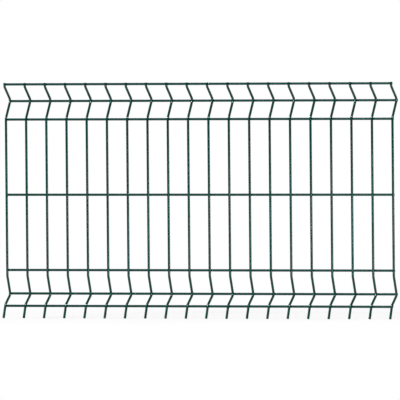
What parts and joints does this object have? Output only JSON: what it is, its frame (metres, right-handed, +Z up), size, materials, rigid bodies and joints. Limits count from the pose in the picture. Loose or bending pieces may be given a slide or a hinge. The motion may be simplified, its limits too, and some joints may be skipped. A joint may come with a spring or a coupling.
{
  "type": "welded mesh fence panel",
  "caption": "Low welded wire mesh fence panel with a stiffening fold along its top and its bottom, open spikes below, in a dark green coat.",
  "frame": {"origin": "the outer side of the left end upright, at the middle wire's height, which is the panel's left edge", "axes": "+X along the panel to its right edge, +Y towards the side that the folds stand out to, +Z up"},
  "size_m": [1.146, 0.0606, 0.6254],
  "materials": {
    "green_coat": "glossy dark green polymer coat on galvanised steel wire"
  },
  "bodies": {
    "root": {"top_wire": "green_coat", "upper_apex_wire": "green_coat", "upper_fold_wire": "green_coat", "middle_wire": "green_coat", "lower_fold_wire": "green_coat", "lower_apex_wire": "green_coat", "bottom_wire": "green_coat", "upright_wire_01": "green_coat", "upright_wire_02": "green_coat", "upright_wire_03": "green_coat", "upright_wire_04": "green_coat", "upright_wire_05": "green_coat", "upright_wire_06": "green_coat", "upright_wire_07": "green_coat", "upright_wire_08": "green_coat", "upright_wire_09": "green_coat", "upright_wire_10": "green_coat", "upright_wire_11": "green_coat", "upright_wire_12": "green_coat", "upright_wire_13": "green_coat", "upright_wire_14": "green_coat", "upright_wire_15": "green_coat", "upright_wire_16": "green_coat", "upright_wire_17": "green_coat", "upright_wire_18": "green_coat", "upright_wire_19": "green_coat", "upright_wire_20": "green_coat"}
  },
  "joints": []
}
